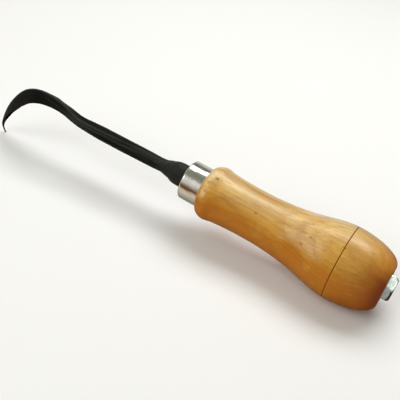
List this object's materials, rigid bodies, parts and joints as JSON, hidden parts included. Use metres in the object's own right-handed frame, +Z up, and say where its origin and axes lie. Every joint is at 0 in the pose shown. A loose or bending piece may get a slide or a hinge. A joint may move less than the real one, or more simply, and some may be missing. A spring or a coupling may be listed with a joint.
{
  "type": "lino cutter",
  "caption": "Pull-type lino groover: a forged, hooked V blade on a flat shank with a round bolster, in a turned wooden handle with a ferrule and a butt nut.",
  "frame": {"origin": "centre of the butt face, where the tang's end is flush with the nut's outer face, on the tool's axis", "axes": "+X along the tool's axis from the butt to the blade, +Z up on the outer side of the hook, so the hook curls down towards -Z, +Y completes a right-handed frame"},
  "size_m": [0.2366, 0.0378, 0.0535],
  "materials": {
    "blade_steel": "blackened forged steel, satin",
    "ferrule_nickel": "bright nickel plate",
    "handle_wood": "amber varnish, glossy",
    "washer_steel": "zinc plate",
    "nut_zinc": "bright zinc plate"
  },
  "bodies": {
    "root": {"hook_blade": "blade_steel", "ferrule": "ferrule_nickel", "handle": "handle_wood", "washer": "washer_steel", "nut": "nut_zinc"}
  },
  "joints": []
}
